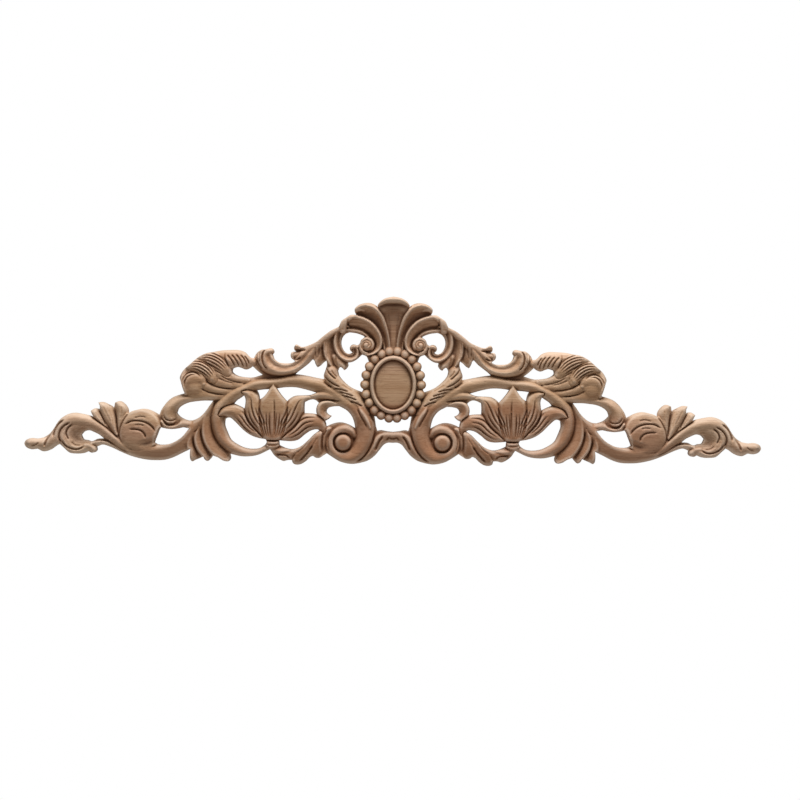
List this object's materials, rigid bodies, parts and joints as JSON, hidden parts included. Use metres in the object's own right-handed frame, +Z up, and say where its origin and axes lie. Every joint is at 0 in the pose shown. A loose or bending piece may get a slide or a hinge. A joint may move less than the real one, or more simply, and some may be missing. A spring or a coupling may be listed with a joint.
{
  "type": "carved wood moulding",
  "caption": "Long pierced wood onlay: beaded oval medallion under a fan crest, with acanthus scrolls and a lotus flower on each side, flat back for glueing to a panel.",
  "frame": {"origin": "on the flat back, behind the centre of the oval medallion", "axes": "+X along the carving, +Z up towards the crest, +Y out of the flat back; the relief faces -Y"},
  "size_m": [0.6, 0.0177, 0.1374],
  "materials": {
    "wood": "unpainted, sanded, unvarnished"
  },
  "bodies": {
    "root": {"carved_applique": "wood"}
  },
  "joints": []
}
